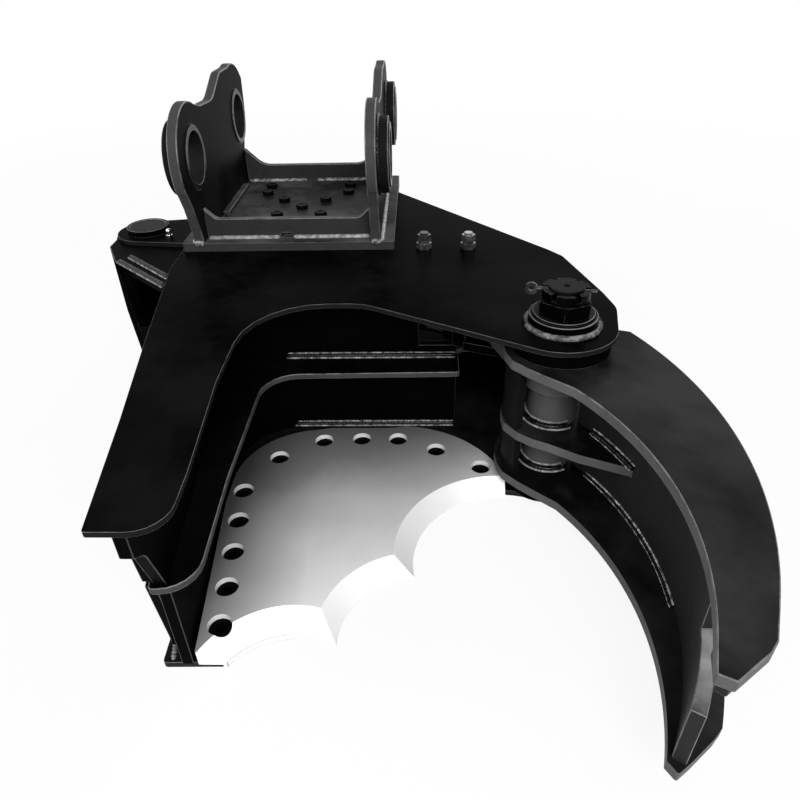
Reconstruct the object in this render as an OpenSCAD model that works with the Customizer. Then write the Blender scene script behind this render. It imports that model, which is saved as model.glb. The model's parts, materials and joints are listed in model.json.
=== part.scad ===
// Hydraulic tree shear for a small excavator: welded C frame, bolted blade and one swinging jaw.
// Origin: middle of the front bracket bore, halfway between the ears.
// +X to the right with the blade in front, +Y to the rear, +Z up. Millimetres.
// The jaw is drawn open, which is its rest pose.

/* [Bracket] */
// clear width between the inner faces of the ears
ear_gap = 240; // [200:5:300]
// ear plate thickness
ear_t = 14; // [10:1:20]
// pin diameter that the two cross bores take
ear_bore = 70; // [50:1:76]
// wall of the bushes pressed into the ears
bush_wall = 7; // [4:1:9]
// distance between the front and rear bores
bore_pitch = 266; // [220:1:320]
// outer diameter of the bore bosses
boss_d = 100; // [98:1:120]
// how far a boss stands out of its ear
boss_h = 15; // [8:1:25]
// width of the bracket base plate
base_w = 306; // [260:2:340]
// length of the bracket base plate
base_l = 328; // [300:2:360]
// depth of the base plate top below the bores
base_drop = 112; // [100:1:140]
// base plate thickness
base_t = 12; // [8:1:20]
// height of the front and rear cross plates
cross_h = 28; // [16:1:50]
// cross plate thickness
cross_t = 10; // [6:1:16]
// bracket bolt thread size
base_bolt_d = 10; // [8:1:16]

/* [Plates] */
// top deck thickness
deck_t = 6; // [5:1:10]
// middle plate thickness
mid_t = 8; // [6:1:12]
// depth of the middle plate top below the bores
mid_drop = 235; // [200:1:260]
// bottom plate thickness
bottom_t = 8; // [6:1:16]
// depth of the bottom plate top below the bores
bottom_drop = 357; // [320:1:380]
// wall plate thickness
wall_t = 12; // [8:1:16]
// thickness of the guard beside the cylinder lug
guard_t = 8; // [5:1:10]

/* [Blade] */
// blade thickness
blade_t = 20; // [12:1:30]
// width of the ground bevel
bevel_w = 22; // [10:1:30]
// flat land left under the bevel
bevel_land = 1.5; // [0.5:0.1:4]
// radius of the large scallop at the cutting edge
scallop_r = 110; // [90:1:130]
// diameter of a bolt recess in the blade
recess_d = 26; // [20:1:30]
// blade bolt thread size
blade_bolt_d = 16; // [12:2:20]

/* [Jaw] */
// pivot distance to the right of the origin
pivot_x = 352.5; // [340:0.5:365]
// pivot distance in front of the origin
pivot_y = -259.5; // [-275:0.5:-245]
// pivot pin diameter
pin_d = 45; // [35:1:50]
// width of the pivot nut across its flats
nut_af = 55; // [50:1:60]
// split pin diameter
split_d = 5; // [3:0.5:6]
// running clearance on the radius of every pivot
run_fit = 0.05; // [0.01:0.01:0.1]
// jaw plate thickness
jaw_t = 12; // [10:1:16]
// depth of the upper jaw plate top
jaw_top = 152; // [150:1:156]
// depth of the middle jaw plate top
jaw_mid = 250; // [248:1:256]
// depth of the lower jaw plate top
jaw_low = 316; // [312:1:318]
// radius of the concave jaw edge
jaw_in_r = 330.7; // [300:0.1:360]
// radius of the convex jaw edge
jaw_out_r = 459.8; // [430:0.1:490]
// jaw wall thickness
jaw_wall = 12; // [8:1:16]
// thickness of the lever that the cylinder pushes
lever_t = 16; // [12:1:20]

/* [Cylinder] */
// base pin diameter
base_pin_d = 40; // [30:1:45]
// barrel outer diameter
barrel_d = 80; // [74:1:84]
// barrel bore
barrel_bore = 62; // [54:1:66]
// rod diameter
rod_d = 36; // [28:1:40]
// lever length from the main pivot to the lever eye
lever_l = 100; // [80:1:120]
// lever angle from +X with the jaw open
lever_a = 112; // [100:1:125]
// depth of the cylinder axis below the bores
cyl_drop = 192; // [190:1:194]
// angle of the cylinder axis with the jaw open
cyl_a = -21.46; // [-25:0.01:-18]
// length from the base pin to the fork pin with the jaw open
cyl_l = 591.7; // [570:0.1:610]
// fork pin diameter
fork_pin_d = 30; // [24:1:36]
// height of the fork on the rod
fork_h = 42; // [36:1:44]
// gap of the fork on each side of the lever
fork_gap = 0.7; // [0.5:0.1:1]
// diameter of the lever eye, wider than its pin
lever_eye = 48; // [30:1:50]

/* [Quality] */
// facets of a full circle
$fn = 64; // [32:4:96]

/* [Hidden] */
eps = 0.5;
base_top = -base_drop;
base_bot = base_top - base_t;
deck_bot = base_bot - deck_t;
mid_top = -mid_drop;
mid_bot = mid_top - mid_t;
bottom_top = -bottom_drop;
bottom_bot = bottom_top - bottom_t;
blade_top = bottom_top + blade_t;
pivot = [pivot_x, pivot_y];
pin_r = pin_d / 2;
hub_r = 31;
bush_r = 25.5;
jaw_in_c = [-273, -281];
jaw_out_c = [-323, -171.5];
web_c = [-256.8, -215.8];
web_r = jaw_out_r - 112.4;
lever_z = -cyl_drop - lever_t / 2;
bore_r = ear_bore / 2 + bush_wall;
bush_out = 2;
ring_h = 13;
washer_h = 3;
nut_z = base_bot + ring_h + washer_h;
nut_h = 16;
crown_h = 12;
thread_r = 20;
split_z = nut_z + nut_h + 9;
nut_turn = 20;
recess_h = 14;
lug_t = 12;
web_step = -jaw_mid + 4;
window_w = 60;
window_h = 56;
guard_a = [-277, 4];
guard_b = [-143, -250];
window_x = 188;
upper_face = -140;
lower_face = -145;
rear_y = 274;
lever_p = lever_l * [cos(lever_a), sin(lever_a)];
// rest offset of the fork pin in the wider lever eye
eye_off = [1.64, 8.3072];
// the base pin stands one cylinder length behind the fork pin
base_pin = pivot + lever_p + eye_off - cyl_l * [cos(cyl_a), sin(cyl_a)];
scallop_c = [[290, -412], [185, -518], [57, -588]];
scallop_e = [scallop_r, scallop_r - 27, scallop_r - 31];
blade_bolts_xy = [
    [-19, -512], [-23, -463], [-28, -412], [-33, -361], [-38, -308], [-3, -241],
    [54, -204], [107, -200.5], [158, -201], [211, -225], [269, -262]];
base_bolts_xy = [
    [0, 117], [-34.5, 154], [34.5, 154], [-69, 192], [69, 192],
    [-69, 231], [69, 231], [-34.5, 81], [34.5, 81]];

// outline entries on an arc, from angle a0 to angle a1
function arc(c, r, a0, a1, n) =
    [for (i = [0:n]) let (a = a0 + (a1 - a0) * i / n) [c[0] + r * cos(a), c[1] + r * sin(a), 0]];

// points that round one corner b between a and c with radius r
function corner(a, b, c, r, n) =
    let (
        u = (a - b) / norm(a - b),
        v = (c - b) / norm(c - b),
        half = acos(u * v) / 2,
        m = b + (u + v) / norm(u + v) * r / sin(half),
        s = b + u * r / tan(half) - m,
        e = b + v * r / tan(half) - m,
        a0 = atan2(s[1], s[0]),
        da = (atan2(e[1], e[0]) - a0 + 540) % 360 - 180)
    [for (i = [0:n]) m + r * [cos(a0 + da * i / n), sin(a0 + da * i / n)]];

function xy(p) = [p[0], p[1]];

// closed outline from [x, y, corner radius] entries
function rounded(p, n = 6) =
    let (k = len(p))
    [for (i = [0:k - 1])
        let (a = xy(p[(i + k - 1) % k]), b = xy(p[i]), c = xy(p[(i + 1) % k]))
        for (q = p[i][2] > 0 ? corner(a, b, c, p[i][2], n) : [b]) q];

// flat plate from an outline, between two heights
module plate(points, z0, z1) {
    translate([0, 0, z0]) linear_extrude(z1 - z0) polygon(points);
}

// plate that stands in the YZ plane, between two X positions
module side_plate(points, x0, x1) {
    translate([x0, 0, 0]) rotate([90, 0, 90]) linear_extrude(x1 - x0) polygon(points);
}

// plate that stands in the XZ plane, between two Y positions
module cross_plate(points, y0, y1) {
    translate([0, y1, 0]) rotate([90, 0, 0]) linear_extrude(y1 - y0) polygon(points);
}

module rod_z(c, r, z0, z1) {
    translate([c[0], c[1], z0]) cylinder(r = r, h = z1 - z0);
}

module ring_z(c, r1, r2, z0, z1) {
    difference() {
        rod_z(c, r2, z0, z1);
        rod_z(c, r1, z0 - 1, z1 + 1);
    }
}

// outline of one ear in the YZ plane
ear_pts = rounded(concat(
    arc([0, 0], 72, 205, 62, 24),
    [[62, 56, 30], [128, 52, 60], [190, 80, 40]],
    arc([262, 2], 80, 104, 38, 12),
    [[322, 20, 16], [318, -6, 0], [296, -30, 14], [279, -56, 14], [286, base_top, 0],
        [-31, base_top, 0], [-36, -92, 8], [-50, -55, 18], [-62, -34, 10]]));

// outline of the top deck
deck_pts = rounded(concat(
    [[-69, -589, 3], [-5, -589, 30], [-7, -520, 0], [-18, -380, 60],
        [-18, -203, 94], [120, -206, 60]],
    arc(pivot - [4, 2], 66, 240, 345, 24),
    [[424, -222, 50], [417, -180, 60], [388, -62, 20], [372, -38, 8], [153, 236, 10],
        [153, 300, 6], [-155, 300, 6], [-155, 114, 8], [-214, 105, 0]],
    arc(base_pin, 47, 78, 262, 18),
    [[-160, 2, 6], [-155, -30, 0], [-154, -92, 20], [-121, -291, 0], [-93, -444, 0]]));

// outline of the diagonal lug doubler
lug_pts = rounded(concat(
    [[-138, 108, 0], [-214, 108, 0]],
    arc(base_pin, 50, 84, 205, 14),
    [[-279, 8, 0], [-277, 4, 0], [-249, -49, 6], [-154, -133, 4], [-138, -133, 0]]));

// outline of the guard that runs from the lug to the outer wall
guard_u = [254, 134] / norm([254, 134]);
guard_pts = [guard_a, guard_b, [-100, guard_b[1]], [-100, guard_b[1] + guard_t],
    [guard_b[0] + guard_t / guard_u[0], guard_b[1] + guard_t], guard_a + guard_t * guard_u];

// outline of the middle plate
mid_pts = rounded(concat(
    [[-57, -551, 4], [-14, -551, 34], [-20, -400, 0], [-18, -191, 47],
        [242, -187, 4], [242, -122, 10], [376, -112, 30], [368, -48, 10], [250, 96, 10], [228, 118, 10],
        [-138, 118, 0], [-214, 108, 0]],
    arc(base_pin, 50, 84, 205, 14),
    [[-270, 0, 0], [-138, -246, 5], [-108, -256, 0]]));

// outline of the bottom plate
bottom_pts = rounded(concat(
    [[-73, -543, 4], [-4, -542, 2], [70, -500, 0], [180, -440, 0], [298, -330, 0]],
    arc(pivot, 56, 238, 362, 16),
    [[409, -170, 40], [398, -96, 20], [368, -48, 10], [300, 40, 10], [-146, 40, 10],
        [-149, -60, 10], [-141, -92, 0], [-108, -291, 0], [-80, -444, 0], [-74, -518, 0]]));

// outline of the blade before its bevels are ground
blade_pts = rounded(concat(
    [[-36, -545, 2], [100, -545, 0], [184, -520, 0], [298, -330, 0], [299, -285, 4],
        [296.5, -273.5, 0]],
    arc([154.3, -320.6], 150.3, 18, 84, 12),
    [[150, -175, 0], [60, -175, 0]],
    arc([50, -285], 106, 96, 178, 12),
    [[-56, -330, 0]]));

// throat face of the walls, thickened to the outside
function wall_pts(face_y, front_y, front_x) = rounded([
    [240, face_y, 0], [-74, face_y, 90], [front_x, front_y, 0], [front_x - wall_t, front_y, 0],
    [-74 - wall_t - 1, face_y + wall_t, 102], [240, face_y + wall_t, 0]], 30);

// outer side wall under the deck edge
side_pts = [
    [-61, -562], [-84, -436], [-112, -291], [-145, -92], [-150, -60],
    [-140, -60], [-135, -92], [-102, -291], [-74, -436], [-55, -540], [-51.5, -562]];

// jaw outline between its convex and concave edges; tip corners are given by the caller
function jaw_pts(tip) = rounded(concat(
    arc(jaw_out_c, jaw_out_r, -25.5, 26, 30),
    arc([0, 0], 66, 42, 180, 20),
    [[-65, -18, 10], [-60, -36, 12], [-44, -54, 10], [-26, -71, 10]],
    arc(jaw_in_c, jaw_in_r, 34.6, -20.6, 30),
    tip));

module at_pivot() {
    translate([pivot[0], pivot[1], 0]) children();
}

module at_cylinder() {
    translate([base_pin[0], base_pin[1], -cyl_drop]) rotate([0, 0, cyl_a]) children();
}

// tube or disc along the cylinder axis, from s0 to s1
module along(r, s0, s1) {
    translate([s0, 0, 0]) rotate([0, 90, 0]) cylinder(r = r, h = s1 - s0);
}

module hex_z(c, af, z0, z1, turn = 0) {
    translate([c[0], c[1], z0]) rotate([0, 0, turn]) cylinder(r = af / sqrt(3), h = z1 - z0, $fn = 6);
}

module base_plate() {
    color([0.07, 0.07, 0.08])
    difference() {
        plate(rounded([[-base_w / 2, -31.5, 4], [base_w / 2, -31.5, 4],
            [base_w / 2, base_l - 31.5, 4], [-base_w / 2, base_l - 31.5, 4]]), base_bot, base_top);
        for (p = base_bolts_xy) rod_z(p, base_bolt_d / 2 + 0.3, base_bot - 1, base_top + 1);
    }
}

module ear(side) {
    x0 = side > 0 ? ear_gap / 2 : -ear_gap / 2 - ear_t;
    color([0.07, 0.07, 0.08])
    difference() {
        side_plate(ear_pts, x0, x0 + ear_t);
        for (y = [0, bore_pitch]) translate([x0 - 1, y, 0]) rotate([0, 90, 0])
            cylinder(r = bore_r, h = ear_t + 2);
    }
}

module ear_left() { ear(-1); }

module ear_right() { ear(1); }

module bosses(y) {
    color([0.07, 0.07, 0.08])
    for (s = [-1, 1]) translate([s * (ear_gap / 2 + ear_t), y, 0]) rotate([0, 90 * s, 0])
        difference() {
            cylinder(d = boss_d, h = boss_h);
            translate([0, 0, -1]) cylinder(r = bore_r, h = boss_h + 2);
        }
}

// bushes that stand out of the ears and bosses a little
module ear_bushes() {
    h = ear_t + boss_h + 2 * bush_out;
    color([0.35, 0.35, 0.36])
    for (y = [0, bore_pitch], s = [-1, 1]) translate([s * (ear_gap / 2 - bush_out), y, 0])
        rotate([0, 90 * s, 0]) difference() {
            cylinder(r = bore_r, h = h);
            translate([0, 0, -1]) cylinder(d = ear_bore, h = h + 2);
        }
}

module front_bosses() { bosses(0); }

module rear_bosses() { bosses(bore_pitch); }

module front_cross_plate() {
    g = ear_gap / 2;
    t = base_top + cross_h;
    color([0.07, 0.07, 0.08])
    difference() {
        cross_plate(rounded([[-g, base_top, 0], [g, base_top, 0], [g, t + 15, 0], [g - 16, t, 12],
            [-g + 16, t, 12], [-g, t + 15, 0]]), -cross_t, 0);
        cross_plate(rounded([[-13, base_top - 1, 0], [5, base_top - 1, 0], [5, base_top + 8, 7],
            [-13, base_top + 8, 7]]), -cross_t - 1, 1);
    }
}

module rear_cross_plate() {
    g = ear_gap / 2;
    t = base_top + cross_h;
    color([0.07, 0.07, 0.08])
    cross_plate(rounded([[-g, base_top, 0], [g, base_top, 0], [g, t + 28, 0], [g - 30, t, 34],
        [-g + 30, t, 34], [-g, t + 28, 0]]), rear_y, rear_y + cross_t);
}

module foot_rails() {
    g = ear_gap / 2;
    color([0.07, 0.07, 0.08])
    for (s = [-1, 1]) side_plate([[85, base_top], [236, base_top], [236, base_top + 8], [85, base_top + 8]],
        s > 0 ? g - 10 : -g, s > 0 ? g : -g + 10);
}

module bracket_bolts() {
    color([0.55, 0.55, 0.57])
    for (p = base_bolts_xy) {
        difference() {
            union() {
                hex_z(p, 16.5, base_top, base_top + 7);
                rod_z(p, base_bolt_d / 2, deck_bot, base_top + 1);
            }
            rod_z(p, 4.5, base_top + 6.4, base_top + 8);
        }
    }
}

module deck_plate() {
    color([0.07, 0.07, 0.08])
    difference() {
        plate(deck_pts, deck_bot, base_bot);
        for (p = base_bolts_xy) rod_z(p, base_bolt_d / 2, deck_bot - 1, base_bot + 1);
        for (p = [[196, -26], [259, -28]]) rod_z(p, 7, deck_bot - 1, base_bot + 1);
        rod_z(pivot, pin_r, deck_bot - 1, base_bot + 1);
        rod_z(base_pin, base_pin_d / 2, deck_bot - 1, base_bot + 1);
    }
}

module hose_fittings() {
    color([0.3, 0.3, 0.31])
    for (p = [[196, -26], [259, -28]]) {
        difference() {
            union() {
                hex_z(p, 19, base_bot, base_bot + 8);
                rod_z(p, 8.5, base_bot + 7, base_bot + 11);
                hex_z(p, 17, base_bot + 11, base_bot + 20);
                rod_z(p, 7, deck_bot - 14, base_bot + 1);
            }
            rod_z(p, 4, deck_bot - 15, base_bot + 16);
        }
        rod_z(p, 6, base_bot + 20, base_bot + 23);
    }
}

module lug_doubler() {
    color([0.07, 0.07, 0.08])
    difference() {
        plate(lug_pts, deck_bot - lug_t, deck_bot);
        plate(side_pts, deck_bot - lug_t - 1, deck_bot + 1);
        plate([[-135, 120], [-60, 120], [-60, -300], [-102, -291], [-135, -92], [-140, -60]],
            deck_bot - lug_t - 1, deck_bot + 1);
        rod_z(base_pin, base_pin_d / 2, deck_bot - lug_t - 1, deck_bot + 1);
    }
}

module side_guard() {
    color([0.07, 0.07, 0.08])
    difference() {
        plate(guard_pts, mid_top, deck_bot);
        plate(lug_pts, deck_bot - lug_t, deck_bot + 1);
        plate(side_pts, mid_top - 1, deck_bot + 1);
        plate([[-100, -200], [-100, -300], [-118, -300], [-118, -200]], mid_top - 1, deck_bot + 1);
    }
}

module mid_plate() {
    color([0.07, 0.07, 0.08])
    difference() {
        plate(mid_pts, mid_bot, mid_top);
        rod_z(base_pin, base_pin_d / 2, mid_bot - 1, mid_top + 1);
    }
}

module upper_wall() {
    color([0.07, 0.07, 0.08])
    difference() {
        plate(wall_pts(upper_face, -586, -37), mid_top, deck_bot);
        side_plate(rounded([[-600, deck_bot - 5, 0], [-588, deck_bot - 5, 0], [-588, deck_bot - 26, 14],
            [-567, deck_bot - 43, 24], [-546, mid_top - 1, 0], [-600, mid_top - 1, 0]], 12), -90, 0);
        translate([window_x, upper_face - wall_t, -cyl_drop - window_h / 2])
            cube([window_w, 3 * wall_t, window_h]);
    }
}

module lower_wall() {
    color([0.07, 0.07, 0.08])
    plate(wall_pts(lower_face, -545, -40), bottom_top, mid_bot);
}

// outer wall with the raked front end
module side_wall(z0, z1) {
    difference() {
        plate(side_pts, z0, z1);
        side_plate([[-600, -120], [-561.5, -120], [-522.5, bottom_top - 5], [-600, bottom_top - 5]], -160, 0);
    }
}

module outer_wall_upper() {
    color([0.07, 0.07, 0.08]) side_wall(mid_top, deck_bot);
}

module outer_wall_lower() {
    color([0.07, 0.07, 0.08]) side_wall(bottom_top, mid_bot);
}

// diagonal rear wall behind the lever
module rear_wall() {
    pts = [[374, -62], [364, -50], [246, 94], [237, 86], [355, -57], [364, -68]];
    color([0.07, 0.07, 0.08]) {
        plate(pts, mid_top, deck_bot);
        plate([[374, -62], [364, -50], [292, 38], [283, 30], [355, -57], [364, -68]], bottom_top, mid_bot);
    }
}

module closing_wall() {
    color([0.07, 0.07, 0.08])
    plate([[-140, 26], [283, 26], [283, 36], [-140, 36]], bottom_top, mid_bot);
}

// ribs that carry the bracket on the deck
module deck_ribs() {
    color([0.07, 0.07, 0.08]) {
        for (r = [[96, -133], [-8, 121]])
            side_plate([[r[0], mid_top], [112, mid_top], [rear_y + cross_t, deck_bot - 36],
                [rear_y + cross_t, deck_bot], [r[0], deck_bot]], r[1], r[1] + wall_t);
        cross_plate([[-121, deck_bot - 36], [121, deck_bot - 36], [121, deck_bot], [-121, deck_bot]],
            rear_y, rear_y + cross_t);
    }
}

module bottom_plate() {
    color([0.07, 0.07, 0.08])
    difference() {
        plate(bottom_pts, bottom_bot, bottom_top);
        rod_z(scallop_c[0], scallop_e[0] + 16, bottom_bot - 1, bottom_top + 1);
        rod_z(scallop_c[1], scallop_e[1] + 16, bottom_bot - 1, bottom_top + 1);
        rod_z(scallop_c[2], scallop_e[2], bottom_bot - 1, bottom_top + 1);
        for (p = blade_bolts_xy) rod_z(p, blade_bolt_d / 2, bottom_bot - 1, bottom_top + 1);
        rod_z(pivot, pin_r, bottom_bot - 1, bottom_top + 1);
    }
}

module blade() {
    color([0.78, 0.79, 0.8])
    difference() {
        plate(blade_pts, bottom_top, blade_top);
        for (i = [0:2]) {
            rod_z(scallop_c[i], scallop_e[i], bottom_top - 1, bottom_top + bevel_land + 0.5);
            translate([scallop_c[i][0], scallop_c[i][1], bottom_top + bevel_land])
                cylinder(r1 = scallop_e[i], r2 = scallop_e[i] + bevel_w * 1.08,
                    h = (blade_t - bevel_land) * 1.08);
        }
        for (p = blade_bolts_xy) {
            rod_z(p, blade_bolt_d / 2 + 0.3, bottom_top - 1, blade_top + 1);
            rod_z(p, recess_d / 2, blade_top - recess_h, blade_top + 1);
        }
    }
}

module blade_bolts() {
    z = blade_top - recess_h;
    color([0.05, 0.05, 0.05])
    for (p = blade_bolts_xy) {
        difference() {
            union() {
                rod_z(p, 11.8, z, z + 8);
                rod_z(p, blade_bolt_d / 2, bottom_bot + 2, z + 1);
            }
            hex_z(p, 10, z + 2.5, z + 9);
        }
    }
}

module pivot_ring() {
    color([0.07, 0.07, 0.08]) ring_z(pivot, pin_r, 39, base_bot, base_bot + ring_h);
}

module upper_collar() {
    color([0.07, 0.07, 0.08]) ring_z(pivot, pin_r, 58, -jaw_top + 0.4, deck_bot);
}

module lower_collar() {
    color([0.07, 0.07, 0.08]) ring_z(pivot, pin_r, 50, bottom_top, -jaw_low - jaw_t - 0.4);
}

// hole or rod along the split pin, through one pair of crown slots
module at_split_pin() {
    translate([pivot[0], pivot[1], split_z]) rotate([90, 0, nut_turn + 240]) children();
}

module pivot_pin() {
    top = nut_z + nut_h + crown_h;
    color([0.07, 0.07, 0.08])
    difference() {
        union() {
            rod_z(pivot, pin_r, bottom_bot, base_bot + ring_h);
            rod_z(pivot, thread_r, base_bot + ring_h - 1, top + 1);
            translate([pivot[0], pivot[1], top + 1]) cylinder(r1 = thread_r, r2 = thread_r - 1.5, h = 1.5);
        }
        translate([pivot[0], pivot[1], top - 0.5]) cylinder(r1 = 1, r2 = 4, h = 3.1);
        at_split_pin() cylinder(d = split_d + 0.2, h = 80, center = true);
    }
}

module pivot_washer() {
    color([0.07, 0.07, 0.08]) ring_z(pivot, thread_r, 35, base_bot + ring_h, nut_z);
}

// castle nut: hexagon with a slotted round crown
module pivot_nut() {
    z = nut_z + nut_h;
    color([0.07, 0.07, 0.08])
    difference() {
        union() {
            hex_z(pivot, nut_af, nut_z, z, nut_turn);
            rod_z(pivot, nut_af / 2 - 0.5, z - 1, z + crown_h);
        }
        rod_z(pivot, thread_r, nut_z - 1, z + crown_h + 1);
        for (a = [30:60:150]) translate([pivot[0], pivot[1], z + 4]) rotate([0, 0, a + nut_turn])
            translate([-40, -3.5, 0]) cube([80, 7, crown_h]);
    }
}

// split pin with its looped eye on the left of the crown
module split_pin() {
    reach = nut_af / 2 + 6;
    color([0.55, 0.55, 0.57])
    at_split_pin() {
        cylinder(d = split_d, h = 2 * reach, center = true);
        translate([0, 0, reach + split_d]) rotate([0, 90, 0]) difference() {
            cylinder(r = split_d + 2, h = split_d - 1, center = true);
            cylinder(r = split_d - 2, h = split_d + 1, center = true);
        }
    }
}

module cylinder_base_pin() {
    color([0.07, 0.07, 0.08]) {
        rod_z(base_pin, base_pin_d / 2, mid_bot - 8, base_bot + 1);
        difference() {
            rod_z(base_pin, 31.5, base_bot, base_bot + 9);
            rod_z(base_pin, 27, base_bot + 8, base_bot + 10);
        }
    }
}

module pin_keeper() {
    color([0.07, 0.07, 0.08]) ring_z(base_pin, base_pin_d / 2, 30, mid_bot - 7, mid_bot);
}

// grease nipple on the deck beside the cap of the base pin
module grease_nipple() {
    p = base_pin + [42, -30];
    color([0.8, 0.8, 0.82])
    union() {
        hex_z(p, 9, base_bot, base_bot + 4);
        rod_z(p, 3.2, base_bot + 4, base_bot + 9);
        translate([p[0], p[1], base_bot + 10]) sphere(r = 4);
    }
}

module jaw_plate(tip, z) {
    color([0.07, 0.07, 0.08])
    at_pivot() difference() {
        plate(jaw_pts(tip), z - jaw_t, z);
        rod_z([0, 0], hub_r, z - jaw_t - 1, z + 1);
    }
}

module jaw_upper_plate() {
    jaw_plate([[26, -426, 2], [38, -432, 2], [69, -410, 4], [77, -401, 6]], -jaw_top);
}

module jaw_lower_plate() {
    jaw_plate([[43, -408, 2], [56, -399, 3], [82, -379, 6]], -jaw_low);
}

module jaw_mid_shape(z0, z1) {
    plate(rounded(concat(
        arc([0, 0], 62, 30, 180, 18),
        [[-61, -20, 10], [-47, -41, 10], [-31, -54, 0], [-11, -65, 10], [18, -84, 10], [42, -95, 10],
            [80, -112, 4], [104, -60, 10], [104, 0, 30]])), z0, z1);
}

module jaw_mid_plate() {
    color([0.07, 0.07, 0.08])
    at_pivot() difference() {
        jaw_mid_shape(-jaw_mid - jaw_t, -jaw_mid);
        rod_z([0, 0], hub_r, -jaw_mid - jaw_t - 1, -jaw_mid + 1);
    }
}

// curved wall between the upper and lower jaw plates
module jaw_curved_wall(c, r, a0, a1) {
    at_pivot() difference() {
        plate(rounded(concat(arc(c, r, a0, a1, 30), arc(c, r + jaw_wall, a1, a0, 30))),
            -jaw_low, -jaw_top - jaw_t);
        jaw_mid_shape(-jaw_mid - jaw_t, -jaw_mid);
        rod_z([0, 0], hub_r, -jaw_low - 1, -jaw_top);
    }
}

// the web steps down to the middle plate's level near the tip
module jaw_web() {
    color([0.07, 0.07, 0.08])
    difference() {
        jaw_curved_wall(web_c, web_r, -31, 34.4);
        at_pivot() plate([[0, -322], [0, -520], [140, -520], [140, -322]], web_step, -jaw_top);
    }
}

module jaw_outer_wall() {
    color([0.07, 0.07, 0.08]) jaw_curved_wall(jaw_out_c, jaw_out_r - 24, -17, 23);
}

module jaw_hub_tube() {
    color([0.07, 0.07, 0.08])
    difference() {
        rod_z(pivot, hub_r, -jaw_low - jaw_t, -jaw_top);
        rod_z(pivot, bush_r, -jaw_low - jaw_t - 1, -jaw_top + 1);
    }
}

// curved shield around the hub, above and below the middle plate
module jaw_hub_wrap() {
    color([0.07, 0.07, 0.08])
    at_pivot() difference() {
        for (z = [[-jaw_mid, -jaw_top - jaw_t], [-jaw_low, -jaw_mid - jaw_t]])
            plate(rounded(concat(arc([0, 0], 60, 152, 218, 12), arc([0, 0], 50, 218, 152, 12))), z[0], z[1]);
        lever_shape();
    }
}

module lever_shape() {
    plate(rounded(concat(
        arc(lever_p, 34, lever_a - 87, lever_a + 87, 24),
        arc([0, 0], 40, lever_a + 87, lever_a + 273, 30))), lever_z, lever_z + lever_t);
}

module jaw_lever() {
    p = lever_p;
    color([0.07, 0.07, 0.08])
    at_pivot() difference() {
        lever_shape();
        rod_z([0, 0], hub_r, lever_z - 1, lever_z + lever_t + 1);
        rod_z(p, lever_eye / 2, lever_z - 1, lever_z + lever_t + 1);
        plate(rounded(concat(arc(web_c, web_r, 20, 40, 12), arc(web_c, web_r + jaw_wall, 40, 20, 12))),
            lever_z - 1, lever_z + lever_t + 1);
    }
}

module jaw_tip_block() {
    color([0.07, 0.07, 0.08])
    at_pivot() plate(rounded([[38, -396, 2], [30, -424, 2], [36, -429, 2], [53, -417, 2], [62, -396, 2]]),
        -jaw_top - jaw_t - 10, -jaw_top - jaw_t);
}

module jaw_bushes() {
    color([0.7, 0.55, 0.25])
    for (z = [-jaw_low - jaw_t, -jaw_top - 50]) ring_z(pivot, pin_r + run_fit, bush_r, z, z + 50);
}

module cylinder_base_eye() {
    color([0.07, 0.07, 0.08])
    at_cylinder() difference() {
        union() {
            rod_z([0, 0], 35, -38, 38);
            difference() {
                along(38, 0, 48);
                translate([-40, -50, -50]) cube([40, 100, 100]);
            }
            along(barrel_d / 2, 46, 58);
        }
        rod_z([0, 0], base_pin_d / 2 + run_fit, -60, 60);
    }
}

module cylinder_barrel() {
    color([0.07, 0.07, 0.08])
    at_cylinder() difference() {
        along(barrel_d / 2, 58, 352);
        along(barrel_bore / 2, 57, 353);
    }
}

module cylinder_gland() {
    color([0.1, 0.1, 0.1])
    at_cylinder() difference() {
        union() {
            along(barrel_bore / 2, 330, 353);
            along(barrel_d / 2, 352, 368);
        }
        along(rod_d / 2 + run_fit, 320, 370);
    }
}

module cylinder_ports() {
    color([0.1, 0.1, 0.1])
    at_cylinder() for (s = [76, 318]) difference() {
        translate([s, 0, 0]) rotate([-90, 0, 0]) cylinder(r = 12, h = 56);
        along(barrel_d / 2, s - 20, s + 20);
        translate([s, 0, 0]) rotate([-90, 0, 0]) cylinder(r = 6, h = 60);
    }
}

module cylinder_rod() {
    color([0.8, 0.81, 0.83]) at_cylinder() along(rod_d / 2, 66, cyl_l - 80);
}

module cylinder_piston() {
    color([0.3, 0.3, 0.3])
    at_cylinder() difference() {
        along(barrel_bore / 2 - run_fit, 68, 106);
        along(rod_d / 2, 60, 110);
        for (s = [76, 92]) difference() {
            along(barrel_bore / 2 + 1, s, s + 6);
            along(barrel_bore / 2 - 3, s - 1, s + 7);
        }
    }
}

// fork with two ears around the jaw lever
module rod_fork() {
    h = fork_h / 2;
    g = lever_t / 2 + fork_gap;
    color([0.07, 0.07, 0.08])
    at_cylinder() difference() {
        union() {
            rod_z([cyl_l, 0], 34, -h, h);
            translate([cyl_l - 62, -34, -h]) cube([62, 68, fork_h]);
            translate([cyl_l - 80, -26, -h]) cube([19, 52, fork_h]);
            along(24, cyl_l - 96, cyl_l - 79);
        }
        translate([cyl_l - 62, -60, -g]) cube([120, 120, 2 * g]);
        rod_z([cyl_l, 0], fork_pin_d / 2, -h - 6, h + 6);
        along(rod_d / 2, cyl_l - 97, cyl_l - 80);
    }
}

module fork_pin() {
    h = fork_h / 2;
    color([0.5, 0.5, 0.52])
    at_cylinder() union() {
        rod_z([cyl_l, 0], fork_pin_d / 2, -h - 1, h);
        rod_z([cyl_l, 0], 19, -h - 5, -h);
    }
}

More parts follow.
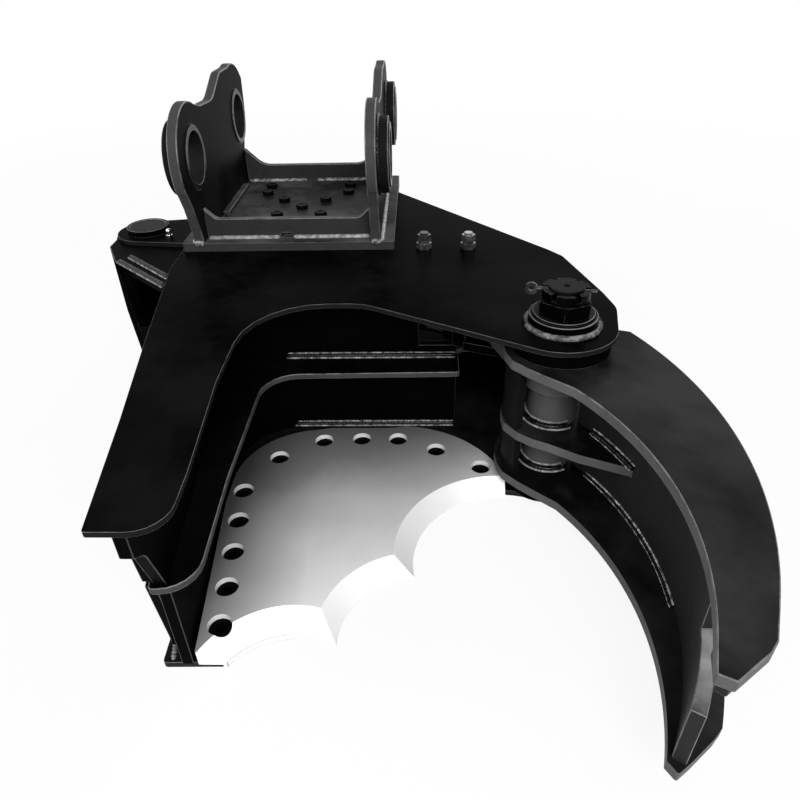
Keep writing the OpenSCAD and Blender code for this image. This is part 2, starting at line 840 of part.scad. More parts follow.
base_plate();
ear_left();
ear_right();
front_bosses();
rear_bosses();
ear_bushes();
front_cross_plate();
rear_cross_plate();
foot_rails();
bracket_bolts();
deck_plate();
hose_fittings();
lug_doubler();
side_guard();
mid_plate();
upper_wall();
lower_wall();
outer_wall_upper();
outer_wall_lower();
rear_wall();
closing_wall();
deck_ribs();
bottom_plate();
blade();
blade_bolts();
pivot_ring();
upper_collar();
lower_collar();
pivot_pin();
pivot_washer();
pivot_nut();
split_pin();
cylinder_base_pin();
pin_keeper();
grease_nipple();
jaw_upper_plate();
jaw_mid_plate();
jaw_lower_plate();
jaw_web();
jaw_outer_wall();
jaw_hub_tube();
jaw_hub_wrap();
jaw_lever();
jaw_tip_block();
jaw_bushes();
cylinder_base_eye();
cylinder_barrel();
cylinder_gland();
cylinder_ports();
cylinder_rod();
cylinder_piston();
rod_fork();
fork_pin();
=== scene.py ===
"""Looks of the excavator tree shear: black enamel plates, ground blade, weld beads and studio."""

import json
import math

import bmesh
import bpy
from mathutils import Matrix, Vector


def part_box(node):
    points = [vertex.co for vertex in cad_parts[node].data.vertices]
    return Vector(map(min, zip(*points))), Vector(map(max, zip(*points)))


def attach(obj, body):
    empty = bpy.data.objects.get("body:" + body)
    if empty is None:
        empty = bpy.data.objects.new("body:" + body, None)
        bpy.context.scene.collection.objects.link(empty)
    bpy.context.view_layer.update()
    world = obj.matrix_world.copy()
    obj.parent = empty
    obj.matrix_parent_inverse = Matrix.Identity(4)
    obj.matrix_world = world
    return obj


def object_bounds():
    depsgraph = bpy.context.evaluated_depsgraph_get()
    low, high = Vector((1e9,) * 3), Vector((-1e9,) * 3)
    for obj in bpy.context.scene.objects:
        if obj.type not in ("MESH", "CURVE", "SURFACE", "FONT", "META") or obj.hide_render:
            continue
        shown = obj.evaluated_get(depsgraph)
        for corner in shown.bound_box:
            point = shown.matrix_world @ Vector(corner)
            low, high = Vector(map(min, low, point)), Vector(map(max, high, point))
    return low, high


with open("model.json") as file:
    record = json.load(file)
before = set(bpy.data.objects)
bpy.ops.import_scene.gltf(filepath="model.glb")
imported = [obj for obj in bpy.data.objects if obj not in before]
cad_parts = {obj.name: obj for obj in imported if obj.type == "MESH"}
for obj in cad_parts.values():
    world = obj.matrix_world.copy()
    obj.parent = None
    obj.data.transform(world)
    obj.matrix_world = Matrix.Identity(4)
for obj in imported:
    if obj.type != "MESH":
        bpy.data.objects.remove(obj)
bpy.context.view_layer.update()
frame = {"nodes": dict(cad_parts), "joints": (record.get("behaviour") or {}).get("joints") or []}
NODES = frame["nodes"]
JOINTS = {joint["name"]: joint for joint in frame["joints"]}
MM = 0.001


def add_object(name, data):
    made = bpy.data.objects.new(name, data)
    bpy.context.scene.collection.objects.link(made)
    return made


# Camera, fitted to the photograph

FOCAL_PX = 664.59
IMAGE_PX = 800
SENSOR_MM = 36
CAMERA_AT = Vector((188.78, -941.89, 238.88)) * MM
YAW, PITCH, ROLL = math.radians(-2.07), math.radians(34.49), math.radians(1.44)


def add_camera():
    forward = Vector((math.sin(YAW) * math.cos(PITCH), math.cos(YAW) * math.cos(PITCH), -math.sin(PITCH)))
    level = Vector((math.cos(YAW), -math.sin(YAW), 0))
    down = forward.cross(level)
    right = math.cos(ROLL) * level + math.sin(ROLL) * down
    up = math.sin(ROLL) * level - math.cos(ROLL) * down
    data = bpy.data.cameras.new("photo_camera")
    data.sensor_width = SENSOR_MM
    data.lens = FOCAL_PX / IMAGE_PX * SENSOR_MM
    data.clip_start = 0.01
    camera = add_object("photo_camera", data)
    turn = Matrix((right, up, -forward)).transposed().to_4x4()
    camera.matrix_world = Matrix.Translation(CAMERA_AT) @ turn
    bpy.context.scene.camera = camera


add_camera()


# Shader expressions


class Value:
    """A shader number that takes part in Python arithmetic."""

    def __init__(self, finish, socket):
        self.finish = finish
        self.socket = socket

    def math(self, operation, a, b=0.0):
        return self.finish.number("ShaderNodeMath", {"operation": operation}, {0: a, 1: b})

    def __add__(self, other):
        return self.math("ADD", self, other)

    def __radd__(self, other):
        return self.math("ADD", other, self)

    def __sub__(self, other):
        return self.math("SUBTRACT", self, other)

    def __rsub__(self, other):
        return self.math("SUBTRACT", other, self)

    def __mul__(self, other):
        return self.math("MULTIPLY", self, other)

    def __rmul__(self, other):
        return self.math("MULTIPLY", other, self)

    def __abs__(self):
        return self.math("ABSOLUTE", self)


class Graph:
    """A node tree that is filled call by call."""

    def __init__(self, tree):
        self.tree = tree
        tree.nodes.clear()

    def fill(self, socket, value):
        if isinstance(value, Value):
            value = value.socket
        if isinstance(value, bpy.types.NodeSocket):
            self.tree.links.new(value, socket)
        elif socket.type == "RGBA":
            socket.default_value = (*value, 1)
        else:
            socket.default_value = value

    def node(self, kind, settings=None, inputs=None, out=0):
        """Add a node, set it, fill its sockets and give back one output, if it has any."""
        made = self.tree.nodes.new(kind)
        for key, value in (settings or {}).items():
            if key == "stops":
                ramp = made.color_ramp
                while len(ramp.elements) < len(value):
                    ramp.elements.new(0.5)
                for element, (at, shade) in zip(ramp.elements, value):
                    element.position = at
                    element.color = (shade, shade, shade, 1)
            else:
                setattr(made, key, value)
        for key, value in (inputs or {}).items():
            self.fill(made.inputs[key], value)
        return made.outputs[out] if made.outputs else None


class Finish(Graph):
    """The nodes of one material, or of the world."""

    def __init__(self, owner):
        owner.use_nodes = True
        super().__init__(owner.node_tree)
        self.owner = owner

    def number(self, kind, settings=None, inputs=None, out=0):
        return Value(self, self.node(kind, settings, inputs, out))

    def place(self):
        return self.node("ShaderNodeTexCoord", out="Object")

    def facing(self, axis):
        """1 where the surface looks along an axis of the model, either way, and 0 across it."""
        normal = self.node("ShaderNodeTexCoord", out="Normal")
        return abs(self.number("ShaderNodeSeparateXYZ", {}, {0: normal}, out=axis))

    def noise(self, scale, detail=3.0, rough=0.5, at=None):
        inputs = {"Vector": at or self.place(), "Scale": scale, "Detail": detail, "Roughness": rough}
        return self.number("ShaderNodeTexNoise", {}, inputs)

    def ramp(self, value, *stops):
        return self.number("ShaderNodeValToRGB", {"stops": stops}, {0: value})

    def blend(self, mask, a, b):
        return self.node("ShaderNodeMix", {"data_type": "RGBA"}, {0: mask, 6: a, 7: b}, out=2)

    def bump(self, height, distance, strength):
        return self.node("ShaderNodeBump", {}, {"Height": height, "Distance": distance, "Strength": strength})

    def seen(self):
        """1 on rays that end in the picture, straight or off gloss or through glass, and 0 on the others."""
        camera, glossy, clear = (self.number("ShaderNodeLightPath", out="Is %s Ray" % kind)
                                 for kind in ("Camera", "Glossy", "Transmission"))
        return camera + glossy + clear

    def close(self, shader, kind="ShaderNodeOutputMaterial"):
        self.node(kind, {}, {0: shader})
        return self.owner

    def surface(self, **inputs):
        named = {key.replace("_", " ").title().replace("Ior", "IOR"): value for key, value in inputs.items()}
        return self.close(self.node("ShaderNodeBsdfPrincipled", {}, named))


def new_finish(name):
    return Finish(bpy.data.materials.new(name))


def grey(shade, tint=1.0):
    return (shade, shade, shade * tint)


# Finishes


def enamel(name, face, side, axis="Z", rough=0.3, shine=0.015, bare=None):
    """Sprayed gloss enamel on rolled plate, with the plate's sides in their own grey, lighter or darker than
    the face: painted light and shade by which way a surface faces.

    Cut sides within a circle, given as x, y and radius in metres, are ground bare with the blade.
    """
    f = new_finish(name)
    cloud = f.noise(7, 4)
    fine = f.noise(55, 5, 0.6)
    dust = f.ramp(cloud * 0.8 + fine * 0.2, (0.4, 0.0), (0.62, 1.0))
    # Mask of the sides, which take the side grey as painted light and shade
    side_light_and_shade = f.ramp(f.facing(axis), (0.35, 1.0), (0.7, 0.0))
    torch = f.noise(24, 5, 0.7)
    top = f.blend(dust, grey(face * 0.3, 1.04), grey(face * 1.9, 0.99))
    rim = f.blend(torch, grey(side * 0.6, 1.02), grey(side * 1.4, 1.0))
    if bare:
        x, y, reach = bare
        level = f.node("ShaderNodeVectorMath", {"operation": "MULTIPLY"}, {0: f.place(), 1: (1, 1, 0)})
        away = f.number("ShaderNodeVectorMath", {"operation": "DISTANCE"}, {0: level, 1: (x, y, 0)}, out=1)
        ground = f.ramp((away - reach) * 500 + 0.5, (0.4, 1.0), (0.6, 0.0))
        rim = f.blend(ground, rim, grey(0.85))
    colour = f.blend(side_light_and_shade, top, rim)
    peel = f.noise(380, 2)
    mill = f.noise(32, 4, 0.65)
    normal = f.bump(peel * 0.25 + mill * 0.75, 0.0005, 0.3)
    gloss = rough + dust * 0.1 + fine * 0.06
    return f.surface(base_color=colour, roughness=gloss, normal=normal, specular_ior_level=shine)


def worn_edge(name, dark, light):
    """Plate corners, rubbed to a dull grey in patches, their light grey also a painted highlight along the
    edge.
    """
    f = new_finish(name)
    rub = f.ramp(f.noise(55, 5, 0.7), (0.35, 0.0), (0.6, 1.0))
    colour = f.blend(rub, grey(dark), grey(light, 1.02))
    normal = f.bump(f.noise(300, 3), 0.0004, 0.4)
    return f.surface(base_color=colour, roughness=0.34 + rub * 0.1, metallic=rub * 0.3, normal=normal)


def weld_paint(name, dark, light, bump=0.5):
    """Enamel over weld beads: thicker gloss with spatter bumps."""
    f = new_finish(name)
    spots = f.ramp(f.noise(150, 4, 0.6), (0.4, 0.0), (0.62, 1.0))
    colour = f.blend(spots, grey(dark), grey(light))
    normal = f.bump(f.noise(220, 4, 0.6), 0.0009, bump)
    return f.surface(base_color=colour, roughness=0.2 + spots * 0.1, normal=normal, specular_ior_level=0.2)


def ground_steel():
    """Milled blade steel, bright on fresh cuts; painted shade darkens it towards the back and the left by the
    bolts, and a painted light gradient lightens it towards the cutting edge.
    """
    f = new_finish("ground_blade_steel")
    place = f.place()
    x, y = (f.number("ShaderNodeSeparateXYZ", {}, {0: place}, out=axis) for axis in "XY")
    lay = f.node("ShaderNodeMapping", {}, {"Vector": place, "Rotation": (0, 0, 0.5), "Scale": (3, 90, 3)})
    grain = f.noise(9, 6, 0.7, at=lay)
    cloud = f.noise(6, 4, at=place)
    marks = f.ramp(f.noise(26, 6, 0.7), (0.5, 0.0), (0.75, 1.0))
    flat = f.ramp(f.facing("Z"), (0.9, 0.0), (0.97, 1.0))
    # Painted light: lighter towards the front and the right
    painted_light_gradient = f.ramp(x * 1.6 - (y + 0.2) * 2.6 + (cloud - 0.5) * 0.5, (0.15, 0.0), (0.9, 1.0))
    tone = f.blend(painted_light_gradient, grey(0.4, 1.01), grey(0.95, 1.01))
    tone = f.blend(grain * 0.15 + marks * 0.1, tone, grey(0.35, 1.01))
    # Painted shade: darker towards the left and the back
    left = f.ramp((x + 0.045) * 9.5 + (cloud - 0.5) * 0.3, (0.0, 0.14), (1.0, 1.0))
    back = f.ramp((y + 0.18) * -7.1 + (cloud - 0.5) * 0.3, (0.0, 0.25), (1.0, 1.0))
    tone = f.blend(left * back, grey(0.04, 1.01), tone)
    fresh = f.blend(grain * 0.3, grey(0.97), grey(0.8, 1.01))
    normal = f.bump(grain, 0.0003, 0.3)
    rough = 0.34 + grain * 0.12 + marks * 0.1
    colour = f.blend(flat, fresh, tone)
    return f.surface(base_color=colour, roughness=rough, metallic=0.15, normal=normal)


def plain_steel(name, dark, light, rough, metallic=1.0, shine=0.5):
    """Small steel pieces with a fine turned or plated grain."""
    f = new_finish(name)
    grain = f.noise(120, 4, 0.6)
    patch = f.ramp(f.noise(35, 4), (0.4, 0.0), (0.65, 1.0))
    colour = f.blend(patch * 0.7 + grain * 0.3, dark, light)
    normal = f.bump(grain, 0.0003, 0.3)
    return f.surface(base_color=colour, roughness=rough + grain * 0.12, metallic=metallic, normal=normal,
                     specular_ior_level=shine)


LAST_SCALLOP = (0.062, -0.583, 0.0845)

# Copies of one black enamel. The light sides of the deck, the middle plate, the ears and the jaw plates are a
# painted highlight along the plate edges.
DECK = enamel("deck_enamel", 0.003, 0.012, shine=0.004)
GUARD = enamel("guard_enamel", 0.0015, 0.003, shine=0.0)
SHELL = enamel("shell_enamel", 0.0015, 0.0016, shine=0.006)
MIDDLE = enamel("middle_plate_enamel", 0.002, 0.055)
FOOT = enamel("foot_enamel", 0.008, 0.02, bare=LAST_SCALLOP)
# The bracket copies are much lighter than the deck: a painted sheen on the bracket's plates and their front
# faces.
BRACKET_FLOOR = enamel("bracket_floor_enamel", 0.05, 0.042, rough=0.34, shine=0.02)
BRACKET_RIM = enamel("bracket_rim_enamel", 0.09, 0.036, rough=0.34, shine=0.02)
EAR = enamel("ear_enamel", 0.006, 0.055, axis="X", rough=0.34, shine=0.008)
BOSS = enamel("boss_enamel", 0.004, 0.01, axis="X", rough=0.34, shine=0.01)
BUSH = enamel("bush_enamel", 0.002, 0.012, axis="X", rough=0.2, shine=0.1)
JAW = enamel("jaw_plate_enamel", 0.014, 0.1)
# The jaw shell's light face is painted light on the tops of the web, the outer wall and the tip block; the
# hub tube's light grey is a painted sheen.
JAW_SHELL = enamel("jaw_shell_enamel", 0.22, 0.024, shine=0.02)
WRAP = enamel("hub_wrap_enamel", 0.008, 0.008, rough=0.25, shine=0.03)
TUBE = enamel("hub_tube_enamel", 0.09, 0.09, rough=0.25, shine=0.06)
PIVOT_ENAMEL = enamel("pivot_enamel", 0.005, 0.001, rough=0.2, shine=0.02)
# Corner finishes: the light grey of EDGE, DARK_EDGE and BRIGHT_EDGE is a painted highlight along the corners,
# with rubbed patches in it; BLACK_EDGE keeps the black coat.
EDGE = worn_edge("rubbed_edge_highlight", 0.03, 0.16)
DARK_EDGE = worn_edge("dim_edge_highlight", 0.02, 0.12)
BLACK_EDGE = worn_edge("coated_edge", 0.003, 0.015)
BRIGHT_EDGE = worn_edge("bright_edge_highlight", 0.04, 0.45)
# WELD is the beads' black enamel; the lighter weld finishes are painted highlights on beads and along their
# toes.
WELD = weld_paint("painted_weld", 0.003, 0.012)
RING_WELD = weld_paint("ring_weld_highlight", 0.05, 0.22, bump=0.2)
BRIGHT_WELD = weld_paint("bright_weld_highlight", 0.06, 0.4)
SMOOTH_WELD = weld_paint("smooth_weld_highlight", 0.16, 0.42, bump=0.15)
JAW_WELD = weld_paint("jaw_weld_highlight", 0.1, 0.8)
BLADE = ground_steel()
OXIDE = plain_steel("black_oxide_socket", grey(0.0008), grey(0.0015), 0.4, metallic=0.0, shine=0.02)
BOLT = plain_steel("painted_bolt_head", grey(0.001), grey(0.005), 0.35, metallic=0.0, shine=0.03)
# The fittings' light patches are painted glints on the dark steel.
FITTING = plain_steel("blackened_fitting", grey(0.008), grey(0.5), 0.2, metallic=0.8)
CLIP = plain_steel("oiled_split_pin", grey(0.008), grey(0.06), 0.25, metallic=0.5, shine=0.2)
BRIGHT = plain_steel("bright_plated", grey(0.55), grey(0.85), 0.18)
CHROME = plain_steel("hard_chrome", grey(0.72, 1.02), grey(0.85, 1.02), 0.08)
BRONZE = plain_steel("bearing_bronze", (0.35, 0.22, 0.09), (0.6, 0.42, 0.2), 0.35)
DARK = plain_steel("hardened_steel", grey(0.06), grey(0.2), 0.35)

# Finish of each node; any node that isn't named here, such as a wall or a cylinder shell, has SHELL
FINISHES = {
    "base_plate": BRACKET_FLOOR, "foot_rails": BRACKET_FLOOR, "front_cross_plate": BRACKET_RIM,
    "rear_cross_plate": BRACKET_RIM, "ear_left": EAR, "ear_right": EAR, "front_bosses": BOSS,
    "rear_bosses": BOSS, "ear_bushes": BUSH, "bracket_bolts": BOLT, "deck_plate": DECK,
    "hose_fittings": FITTING, "lug_doubler": DECK, "side_guard": GUARD, "mid_plate": MIDDLE,
    "bottom_plate": FOOT, "blade": BLADE, "blade_bolts": OXIDE, "pivot_ring": PIVOT_ENAMEL,
    "pivot_pin": PIVOT_ENAMEL, "pivot_washer": PIVOT_ENAMEL, "pivot_nut": PIVOT_ENAMEL,
    "split_pin": CLIP, "cylinder_base_pin": PIVOT_ENAMEL, "grease_nipple": BRIGHT,
    "jaw_upper_plate": JAW, "jaw_lower_plate": JAW, "jaw_mid_plate": JAW, "jaw_web": JAW_SHELL,
    "jaw_outer_wall": JAW_SHELL, "jaw_hub_tube": TUBE, "jaw_hub_wrap": WRAP,
    "jaw_lever": JAW, "jaw_tip_block": JAW_SHELL, "jaw_bushes": BRONZE, "cylinder_rod": CHROME,
    "cylinder_piston": DARK, "fork_pin": DARK,
}
# Width of the broken corner along plate edges, in millimetres
CORNERS = {
    "deck_plate": 0.9, "base_plate": 1.2, "ear_left": 1.5, "ear_right": 1.5, "front_cross_plate": 1.0,
    "rear_cross_plate": 1.0, "foot_rails": 0.8, "front_bosses": 1.2, "rear_bosses": 1.2, "lug_doubler": 1.0,
    "side_guard": 1.0, "mid_plate": 1.0, "bottom_plate": 0.9, "jaw_upper_plate": 1.2,
    "jaw_lower_plate": 1.2, "jaw_mid_plate": 1.2, "jaw_web": 1.0, "pivot_ring": 1.0, "pivot_nut": 1.3,
    "pivot_washer": 0.6, "upper_collar": 1.0, "lower_collar": 1.0, "jaw_tip_block": 0.8, "jaw_lever": 1.0,
    "rod_fork": 1.2, "cylinder_base_pin": 1.0, "ear_bushes": 0.7, "upper_wall": 0.9, "lower_wall": 0.9,
    "outer_wall_upper": 1.0, "outer_wall_lower": 1.0, "jaw_outer_wall": 1.0,
}
# Nodes whose corners get a dimmer painted highlight than EDGE gives, and nodes whose corners get none
DIM_CORNERS = ["upper_collar", "lower_collar", "jaw_outer_wall", "jaw_tip_block", "ear_bushes",
             "front_bosses", "rear_bosses"]
PLAIN_CORNERS = ["upper_wall", "lower_wall", "outer_wall_upper", "outer_wall_lower"]
CORNER_FINISHES = {
    "pivot_nut": BRIGHT_EDGE, **dict.fromkeys(DIM_CORNERS, DARK_EDGE), **dict.fromkeys(PLAIN_CORNERS, BLACK_EDGE),
}


def crisp(name, angle):
    """Node group that shades a mesh smooth and keeps edges sharp above an angle in degrees."""
    group = bpy.data.node_groups.new(name, "GeometryNodeTree")
    for side in ("INPUT", "OUTPUT"):
        group.interface.new_socket("Mesh", in_out=side, socket_type="NodeSocketGeometry")
    g = Graph(group)
    smooth = g.node("GeometryNodeSetShadeSmooth", {}, {0: g.node("NodeGroupInput"), "Shade Smooth": True})
    bend = g.node("GeometryNodeInputMeshEdgeAngle", out="Unsigned Angle")
    sharp = g.node("FunctionNodeCompare", {"data_type": "FLOAT", "operation": "GREATER_THAN"},
                   {0: bend, 1: math.radians(angle)})
    shaded = g.node("GeometryNodeSetMeshNormal", {"mode": "SHARPNESS"},
                    {"Mesh": smooth, "Remove Custom": True, "Edge Sharpness": sharp})
    g.node("NodeGroupOutput", {}, {0: shaded})
    return group


CRISP = crisp("crisp_edges", 35)
CRISP_CORNERS = crisp("crisp_broken_corners", 50)
MERGE_MM = 0.02
FLAT_DEG = 0.4
CORNER_DEG = 38


def break_corners(name, node):
    """Clear a plate's faces of needless edges, then bevel its corners in the corner's own finish."""
    flat = node.modifiers.new("flats", "DECIMATE")
    flat.decimate_type = "DISSOLVE"
    flat.angle_limit = math.radians(FLAT_DEG)
    node.data.materials.append(CORNER_FINISHES.get(name, EDGE))
    corner = node.modifiers.new("broken_corner", "BEVEL")
    corner.width = CORNERS[name] * MM
    corner.segments = 2
    corner.limit_method = "ANGLE"
    corner.angle_limit = math.radians(CORNER_DEG)
    corner.material = 1


def dress_nodes():
    for name, node in NODES.items():
        node.data.materials.clear()
        node.data.materials.append(FINISHES.get(name, SHELL))
        join = node.modifiers.new("joined", "WELD")
        join.merge_threshold = MERGE_MM * MM
        if name in CORNERS:
            break_corners(name, node)
        shading = node.modifiers.new("shading", "NODES")
        shading.node_group = CRISP_CORNERS if name in CORNERS else CRISP
        even = node.modifiers.new("even_normals", "WEIGHTED_NORMAL")
        even.keep_sharp = True


dress_nodes()


# Pieces made here, with every length in millimetres


def box_mm(node):
    """The low and the high corner of a node's box."""
    return [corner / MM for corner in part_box(node)]


def top(node):
    return box_mm(node)[1].z


def underside(node):
    return box_mm(node)[0].z


def joint_at(name):
    """Where a hinge stands, seen from above."""
    x, y, _ = JOINTS[name]["pos_m"]
    return (x / MM, y / MM)


PIVOT = joint_at("jaw_close")
LUG = joint_at("cylinder_swing")
WEB_CENTRE = (PIVOT[0] - 256.8, PIVOT[1] - 215.8)
DECK_TOP = top("deck_plate")
DECK_UNDER = underside("deck_plate")
DOUBLER_UNDER = underside("lug_doubler")
MIDDLE_TOP = top("mid_plate")
FOOT_TOP = top("bottom_plate")
BASE_TOP = top("base_plate")
JAW_LOW = top("jaw_lower_plate")
JAW_MID = top("jaw_mid_plate")


def add_piece(name, body, points, faces, finish, smooth):
    """A closed mesh that rides on a body."""
    data = bpy.data.meshes.new(name)
    data.from_pydata([Vector(point) * MM for point in points], [], faces)
    mesh = bmesh.new()
    mesh.from_mesh(data)
    bmesh.ops.recalc_face_normals(mesh, faces=mesh.faces)
    for face in mesh.faces:
        face.smooth = smooth
    mesh.to_mesh(data)
    mesh.free()
    data.materials.append(finish)
    piece = add_object(name, data)
    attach(piece, body)


def arc(centre, radius, start, end, z, count=40):
    turns = [math.radians(start + (end - start) * i / count) for i in range(count + 1)]
    return [(centre[0] + radius * math.cos(t), centre[1] + radius * math.sin(t), z) for t in turns]


def resample(points, step):
    """Even steps along a polyline."""
    walk = [Vector(points[0])]
    for a, b in zip(points, points[1:]):
        a, b = Vector(a), Vector(b)
        count = max(1, round((b - a).length / step))
        walk += [a.lerp(b, i / count) for i in range(1, count + 1)]
    return walk


# Weld beads

RIPPLE_MM = 4.2
RIPPLE_STEPS = 4
SIDES = 10
TOE_R = 1.1


def weld(name, body, points, radius, ripple=0.16, finish=WELD):
    """A rippled bead along points, tapered at both ends."""
    walk = resample(points, RIPPLE_MM / RIPPLE_STEPS)
    last = len(walk) - 1
    skin = []
    for i, at in enumerate(walk):
        ahead = (walk[min(i + 1, last)] - walk[max(i - 1, 0)]).normalized()
        side = ahead.cross(Vector((0, 0, 1)) if abs(ahead.z) < 0.9 else Vector((1, 0, 0))).normalized()
        lift = side.cross(ahead)
        wave = (i % RIPPLE_STEPS) / RIPPLE_STEPS + 0.5 * math.sin(i * 1.7) * math.sin(i * 0.31)
        taper = min(1, (min(i, last - i) + 1) / RIPPLE_STEPS)
        r = radius * (1 + ripple * wave) * math.sqrt(taper)
        for k in range(SIDES):
            t = 2 * math.pi * k / SIDES
            skin.append(at + r * (math.cos(t) * side + math.sin(t) * lift))
    rings = [[i * SIDES + k for k in range(SIDES)] for i in range(last + 1)]
    faces = [(a[k - 1], a[k], b[k], b[k - 1]) for a, b in zip(rings, rings[1:]) for k in range(SIDES)]
    add_piece(name, body, skin, faces + [rings[0][::-1], rings[-1]], finish, smooth=True)


def seam(name, body, core, toes, radius, finish=BRIGHT_WELD):
    """A bead between two thin toe beads whose light finish is a painted highlight along its edges."""
    weld(name, body, core, radius, ripple=0.1)
    for tag, line in zip("ab", toes):
        weld("%s_toe_%s" % (name, tag), body, line, TOE_R, ripple=0.5, finish=finish)


def straight_seam(name, start, end, offset, radius):
    """A seam on the frame whose toes lie an offset to both sides of the bead's centre."""
    ends = [Vector(start), Vector(end)]
    seam(name, "frame", ends, [[p + side * Vector(offset) for p in ends] for side in (1, -1)], radius)


def throat_run(back, z, short=0):
    """A line along the straight throat walls, from their right end to the bend or short of it."""
    right, bend, y = 238, 3, back - 145
    return [(right, y, z), (bend + short, y, z)]


def weld_throat():
    # Both seams carry painted highlights on their toes.
    straight_seam("bead_wall_middle", *throat_run(0, MIDDLE_TOP + 2), (0, 4, 1.5), 2.8)
    straight_seam("bead_wall_bottom", *throat_run(-2, FOOT_TOP + 8), (0, 1.5, 3), 2.4)
    weld("bead_wall_deck", "frame", throat_run(4, DECK_UNDER - 2, short=12), 2.5)


def weld_on_base(name, start, end, radius, **look):
    """A straight bead on the bracket's base plate, between two places seen from above."""
    weld(name, "frame", [(*start, BASE_TOP), (*end, BASE_TOP)], radius, **look)


def weld_ears():
    """Beads along both ears and round their bosses."""
    inner, outer = (corner.x for corner in box_mm("ear_right"))
    boss_r = top("front_bosses")
    toe_y = box_mm("base_plate")[0].y + 0.5
    for side, name in ((-1, "left"), (1, "right")):
        inside, outside = side * (inner - 1), side * (outer + 1)
        weld_on_base("bead_ear_in_" + name, (inside, 4), (inside, 270), 4, ripple=0.06)
        # The outer and the toe beads are in light finishes: painted highlights.
        weld_on_base("bead_ear_out_" + name, (outside, -28), (outside, 284), 4, ripple=0.04,
                     finish=SMOOTH_WELD)
        weld_on_base("bead_ear_toe_" + name, (side * (inner + 1), toe_y), (side * outer, toe_y), 4.5,
                     finish=BRIGHT_WELD)
        for end in ("front", "rear"):
            low, high = box_mm(end + "_bosses")
            flat = arc(((low.y + high.y) / 2, 0), boss_r + 0.5, 0, 360, side * (outer + 0.5), 48)
            weld("bead_boss_%s_%s" % (end, name), "frame", [(x, y, z) for y, z, x in flat], 2.5)


def weld_cross_plates():
    """Beads in two runs along the foot of both cross plates, and in one behind the front one."""
    front = box_mm("front_cross_plate")
    rear_y = box_mm("rear_cross_plate")[0].y - 0.5
    front_y = front[0].y - 1
    inside_y = front[1].y + 0.5
    reach = front[1].x - 2
    for x0, x1, name in ((-reach, -14, "a"), (6, reach, "b")):
        # Both runs are in light finishes: painted highlights along the beads.
        weld_on_base("bead_cross_front_out_" + name, (x0, front_y), (x1, front_y), 4, ripple=0.02,
                     finish=SMOOTH_WELD)
        weld_on_base("bead_cross_rear_" + name, (x0, rear_y), (x1, rear_y), 4, ripple=0.08,
                     finish=BRIGHT_WELD)
    weld_on_base("bead_cross_front_in", (-reach, inside_y), (reach, inside_y), 3.5)


def weld_pivot_and_lug():
    weld("bead_ring", "frame", arc(PIVOT, 41, 0, 360, DECK_TOP, 60), 5, ripple=0.04)
    # A light bead over the front arc of the ring weld: a painted highlight.
    weld("bead_ring_highlight", "frame", arc(PIVOT, 42.5, 190, 325, DECK_TOP + 2.5), 3.6, ripple=0.04,
         finish=RING_WELD)
    # The lug seams' light toes are painted highlights.
    for (x0, y0), (x1, y1), name in (((-232, -34), (-152, -110), "a"), ((-243, -50), (-149, -137), "b")):
        across = Vector((y1 - y0, x0 - x1, 0)).normalized() * 4
        straight_seam("bead_lug_" + name, (x0, y0, DECK_UNDER), (x1, y1, DECK_UNDER), across, 4)


def weld_foot():
    """A short bead beside the front end of the lower wall."""
    # The bead's light finish is a painted highlight.
    weld("bead_foot", "frame", [(-69, -508, FOOT_TOP), (-63, -540, FOOT_TOP)], 2.2, ripple=0.3,
         finish=RING_WELD)


def weld_jaw():
    """Seams where the web and the hub tube stand on the lower and the middle jaw plate."""
    for name, start, level, rise in (("low", -5, JAW_LOW, 2), ("mid", 17.5, JAW_MID, 4)):
        core, upper, lower = (arc(WEB_CENTRE, radius, start, 30, level + up)
                              for radius, up in ((345, 2), (346.8, rise + 2), (346 - rise, 0.7)))
        # The toes' light finishes are painted highlights.
        seam("bead_jaw_web_" + name, "jaw", core, [upper, lower], rise, finish=JAW_WELD)
        core, upper, lower = (arc(PIVOT, radius, 60, 300, level + up)
                              for radius, up in ((34, 2.5), (31.6, 7), (38, 0.7)))
        seam("bead_jaw_tube_" + name, "jaw", core, [upper, lower], 3.5, finish=SMOOTH_WELD)


weld_throat()
weld_ears()
weld_cross_plates()
weld_pivot_and_lug()
weld_foot()
weld_jaw()


# Curved strap that closes the lug behind the base pin

STRAP_R = 49
STRAP_T = 4.5
STRAP_GAP = 0.2
STRAP_END_Y = 8


def add_lug_strap():
    """A rolled strip round the lug between the middle plate and the doubler, with a straight front end."""
    rise = [MIDDLE_TOP + STRAP_GAP, DOUBLER_UNDER - STRAP_GAP]
    outer, inner = ([(end_x, STRAP_END_Y, 0)] + arc(LUG, radius, 205, 130, 0, 24)
                    for end_x, radius in ((-279, STRAP_R), (-274, STRAP_R - STRAP_T)))
    loop = outer + inner[::-1]
    count = len(loop)
    points = [(x, y, z) for z in rise for x, y, _ in loop]
    faces = [(i, (i + 1) % count, count + (i + 1) % count, count + i) for i in range(count)]
    for i in range(len(outer) - 1):
        quad = (i, i + 1, count - 2 - i, count - 1 - i)
        faces += [quad[::-1], tuple(count + k for k in quad)]
    add_piece("lug_strap", "frame", points, faces, SHELL, smooth=False)


add_lug_strap()


# Floor, backdrop and lamps

FLOOR_GAP = 0.0005
FLOOR_REACH = 30
AMBIENT = 0.3


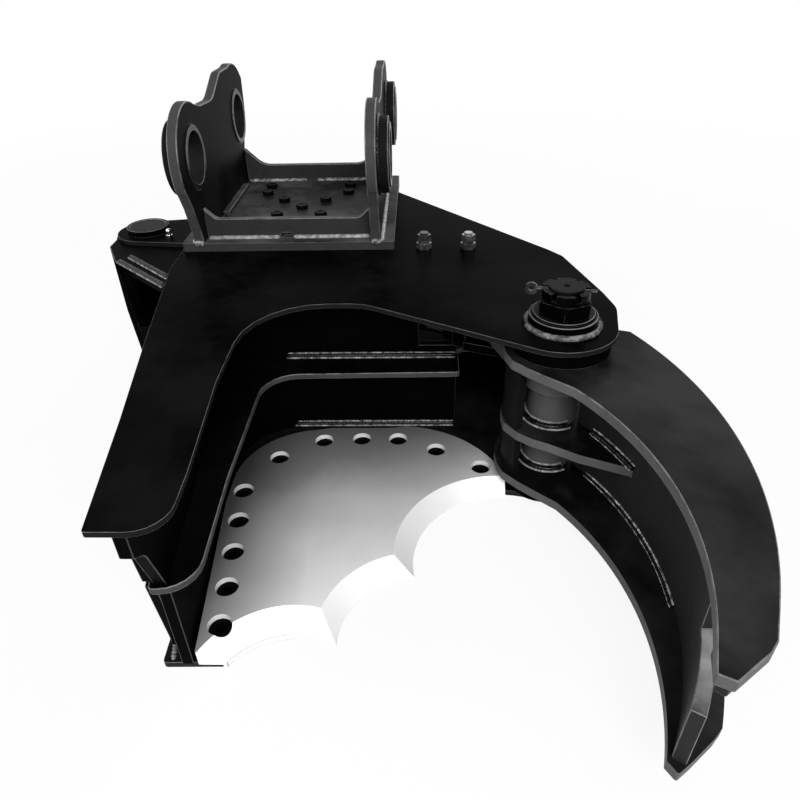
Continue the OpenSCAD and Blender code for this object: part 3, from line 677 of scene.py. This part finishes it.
def pale_floor():
    """A large matt floor that the camera sees as white paper, with the part's soft shadow near it."""
    f = new_finish("pale_paper")
    paper = f.blend(f.noise(40, 3) * 0.3, grey(0.86), grey(0.8))
    matt = f.node("ShaderNodeBsdfDiffuse", {}, {"Color": paper})
    glow = f.node("ShaderNodeEmission", {}, {"Color": grey(1), "Strength": 1.0})
    away = f.number("ShaderNodeVectorMath", {"operation": "LENGTH"}, {0: f.place()}, out=1)
    white = f.ramp(away * 0.25, (0.2, 0.9), (0.6, 1.0))
    both = f.node("ShaderNodeMixShader", {}, {0: f.seen() * white, 1: matt, 2: glow})
    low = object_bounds()[0][2] - FLOOR_GAP
    square = [(x * FLOOR_REACH, y * FLOOR_REACH, low) for x, y in ((-1, -1), (1, -1), (1, 1), (-1, 1))]
    data = bpy.data.meshes.new("studio_floor")
    data.from_pydata(square, [], [(0, 1, 2, 3)])
    data.materials.append(f.close(both))
    add_object("studio_floor", data)


def studio_world():
    """An even sky that is white to the camera and dimmer on the part."""
    f = Finish(bpy.data.worlds.new("studio"))
    dim, white = (f.node("ShaderNodeBackground", {}, {"Color": grey(1), "Strength": strength})
                  for strength in (AMBIENT, 1.0))
    both = f.node("ShaderNodeMixShader", {}, {0: f.seen(), 1: dim, 2: white})
    bpy.context.scene.world = f.close(both, "ShaderNodeOutputWorld")


def lamp(name, at, aim, size, power):
    data = bpy.data.lights.new(name, "AREA")
    data.shape = "RECTANGLE"
    data.size, data.size_y = size
    data.energy = power
    made = add_object(name, data)
    made.location = at
    made.rotation_euler = (Vector(aim) - Vector(at)).to_track_quat("-Z", "Y").to_euler()


pale_floor()
studio_world()
lamp("key_softbox", (1.6, 1.9, 2.0), (0.2, -0.1, -0.2), (1.6, 1.2), 30)
lamp("left_softbox", (-2.2, -0.6, 1.4), (0.0, -0.2, -0.2), (1.2, 1.6), 22)
lamp("front_fill", (0.6, -2.6, 1.6), (0.1, -0.3, -0.3), (1.8, 1.2), 80)

bpy.context.scene.view_settings.view_transform = "Standard"
